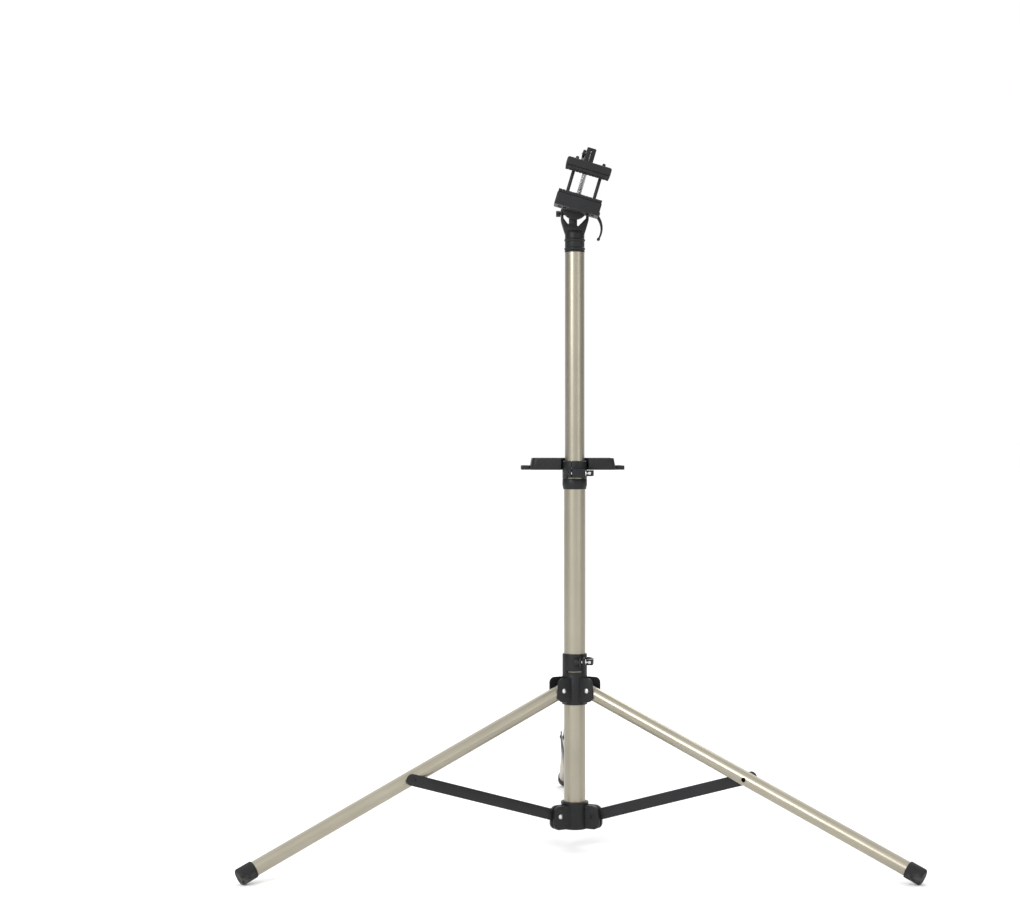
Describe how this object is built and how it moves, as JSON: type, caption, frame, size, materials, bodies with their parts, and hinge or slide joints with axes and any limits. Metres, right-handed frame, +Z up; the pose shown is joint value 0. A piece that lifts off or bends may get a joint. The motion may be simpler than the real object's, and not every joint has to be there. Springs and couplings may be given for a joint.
{
  "type": "bike repair stand",
  "caption": "Folding tripod repair stand with telescopic mast, quick-release collars, tool tray and a turning padded clamp for a bicycle tube.",
  "frame": {"origin": "point of the floor under the mast axis", "axes": "+Z up along the mast; the rear leg points along +Y, and the clamp's mouth opens along -Y; +X is to the right seen from the front, the side that the jaws slope down to"},
  "size_m": [1.1192, 0.9724, 1.2318],
  "materials": {
    "tube_champagne": "champagne satin",
    "plastic_black": "fine-grained satin black",
    "steel_black": "satin black powder coat",
    "steel_bright": "zinc plated",
    "rubber_black": "matt rubber"
  },
  "bodies": {
    "mast": {"lower_mast_tube": "tube_champagne", "bottom_collar": "plastic_black", "strap_pivot_bolt_rear": "steel_bright", "strap_pivot_bolt_left": "steel_bright", "strap_pivot_bolt_right": "steel_bright", "mast_collar": "plastic_black", "collar_skewer": "steel_bright", "collar_nut": "steel_black", "collar_washer": "steel_bright", "collar_cam_pin": "steel_bright", "tool_tray": "plastic_black", "tray_screw_front": "steel_black", "tray_screw_rear": "steel_black"},
    "hub": {"hub_casting": "plastic_black", "leg_pivot_bolt_rear": "steel_bright", "leg_pivot_bolt_left": "steel_bright", "leg_pivot_bolt_right": "steel_bright", "hub_skewer": "steel_bright", "hub_nut": "steel_black", "hub_washer": "steel_bright", "hub_cam_pin": "steel_bright"},
    "hub_lever": {"hub_lever": "plastic_black"},
    "collar_lever": {"collar_lever": "plastic_black"},
    "head_lever": {"head_lever": "plastic_black"},
    "clamp_lever": {"clamp_lever": "plastic_black"},
    "mast_guide": {"upper_tube_plug": "plastic_black"},
    "upper_mast": {"upper_mast_tube": "tube_champagne", "mast_head": "plastic_black", "head_skewer": "steel_black", "head_nut": "steel_black", "head_washer": "steel_black", "head_cam_pin": "steel_bright"},
    "clamp": {"clamp_shaft": "steel_black", "shaft_nut": "steel_bright", "jaw_bolt_left": "steel_bright", "jaw_bolt_right": "steel_bright", "lower_jaw": "plastic_black", "lower_jaw_pad": "rubber_black", "jaw_spindle": "steel_bright", "jaw_guide_pin_left": "steel_black", "jaw_guide_pin_right": "steel_black"},
    "upper_jaw": {"upper_jaw": "plastic_black", "upper_jaw_pad": "rubber_black", "clamp_washer": "steel_bright", "clamp_nut": "plastic_black", "clamp_cam_pin": "steel_bright"},
    "leg_rear": {"leg_tube_rear": "tube_champagne", "foot_cap_rear": "rubber_black"},
    "strap_rear": {"strap_rear": "steel_black", "strap_bolt_rear": "steel_black"},
    "leg_left": {"leg_tube_left": "tube_champagne", "foot_cap_left": "rubber_black"},
    "strap_left": {"strap_left": "steel_black", "strap_bolt_left": "steel_black"},
    "leg_right": {"leg_tube_right": "tube_champagne", "foot_cap_right": "rubber_black"},
    "strap_right": {"strap_right": "steel_black", "strap_bolt_right": "steel_black"}
  },
  "joints": [
    {"name": "hub_slide", "type": "slide", "parent": "mast", "child": "hub", "axis": [0, 0, 1], "range_m": [0, 0.285]},
    {"name": "hub_lever_swing", "type": "hinge", "parent": "hub", "child": "hub_lever", "pos_m": [0.0252, -0.0279, 0.32841], "axis": [0, 0, -1], "range_deg": [0, 110]},
    {"name": "leg_fold_rear", "type": "hinge", "parent": "hub", "child": "leg_rear", "pos_m": [0, 0.0315, 0.27801], "axis": [-1, 0, 0], "range_deg": [0, 30.23]},
    {"name": "strap_fold_rear", "type": "hinge", "parent": "mast", "child": "strap_rear", "pos_m": [0, 0.037, 0.057], "axis": [1, 0, 0], "range_deg": [0, 35.78]},
    {"name": "leg_fold_left", "type": "hinge", "parent": "hub", "child": "leg_left", "pos_m": [-0.02728, -0.01575, 0.27801], "axis": [0.5, -0.866, 0], "range_deg": [0, 30.23]},
    {"name": "strap_fold_left", "type": "hinge", "parent": "mast", "child": "strap_left", "pos_m": [-0.03204, -0.0185, 0.057], "axis": [-0.5, 0.866, 0], "range_deg": [0, 35.78]},
    {"name": "leg_fold_right", "type": "hinge", "parent": "hub", "child": "leg_right", "pos_m": [0.02728, -0.01575, 0.27801], "axis": [0.5, 0.866, 0], "range_deg": [0, 30.23]},
    {"name": "strap_fold_right", "type": "hinge", "parent": "mast", "child": "strap_right", "pos_m": [0.03204, -0.0185, 0.057], "axis": [-0.5, -0.866, 0], "range_deg": [0, 35.78]},
    {"name": "collar_lever_swing", "type": "hinge", "parent": "mast", "child": "collar_lever", "pos_m": [0.0255, -0.0279, 0.6604], "axis": [0, 0, -1], "range_deg": [0, 110]},
    {"name": "mast_slide", "type": "slide", "parent": "mast", "child": "mast_guide", "axis": [0, 0, 1], "range_m": [-0.35, 0.1]},
    {"name": "mast_turn", "type": "hinge", "parent": "mast_guide", "child": "upper_mast", "pos_m": [0, 0, 0.45], "axis": [0, 0, 1], "continuous": true},
    {"name": "head_lever_swing", "type": "hinge", "parent": "upper_mast", "child": "head_lever", "pos_m": [0.0385, 0, 1.1195], "axis": [0, -1, 0], "range_deg": [0, 110]},
    {"name": "head_turn", "type": "hinge", "parent": "upper_mast", "child": "clamp", "pos_m": [0, 0, 1.1305], "axis": [0, 1, 0], "range_deg": [-160, 130]},
    {"name": "upper_jaw_slide", "type": "slide", "parent": "clamp", "child": "upper_jaw", "axis": [0.284, 0, 0.9588], "range_m": [-0.036, 0.01]},
    {"name": "clamp_lever_swing", "type": "hinge", "parent": "upper_jaw", "child": "clamp_lever", "pos_m": [0.0152, -0.0335, 1.2209], "axis": [0.9588, 0, -0.284], "range_deg": [0, 100]}
  ],
  "couplings": [
    {"joint": "leg_fold_rear", "follows": "hub_slide", "rad_per_m": 1.8501},
    {"joint": "strap_fold_rear", "follows": "hub_slide", "rad_per_m": 2.1898},
    {"joint": "leg_fold_left", "follows": "hub_slide", "rad_per_m": 1.8501},
    {"joint": "strap_fold_left", "follows": "hub_slide", "rad_per_m": 2.1898},
    {"joint": "leg_fold_right", "follows": "hub_slide", "rad_per_m": 1.8501},
    {"joint": "strap_fold_right", "follows": "hub_slide", "rad_per_m": 2.1898}
  ]
}
